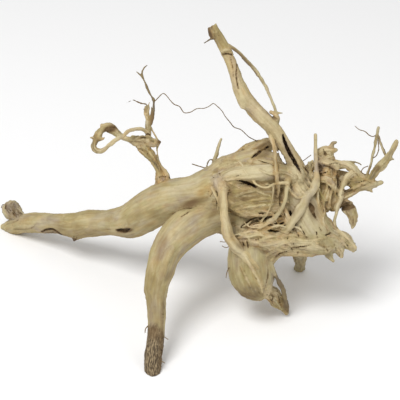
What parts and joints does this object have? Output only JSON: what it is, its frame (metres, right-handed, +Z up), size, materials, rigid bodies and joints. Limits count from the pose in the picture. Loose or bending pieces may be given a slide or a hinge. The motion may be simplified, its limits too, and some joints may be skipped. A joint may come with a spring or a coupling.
{
  "type": "spiderwood root",
  "caption": "Bare branching driftwood root on a long arm, a bent leg and a stub, with a tall prong and tangles of thin roots.",
  "frame": {"origin": "middle of the wood's outer box, on the surface it stands on", "axes": "+Z up; +X toward the side of the thin tangled roots, along the wood's length; -Y toward the foot of the front leg"},
  "size_m": [0.4148, 0.2767, 0.2874],
  "materials": {
    "bare_wood": "dry and matte"
  },
  "bodies": {
    "root": {"spiderwood_root": "bare_wood"}
  },
  "joints": []
}
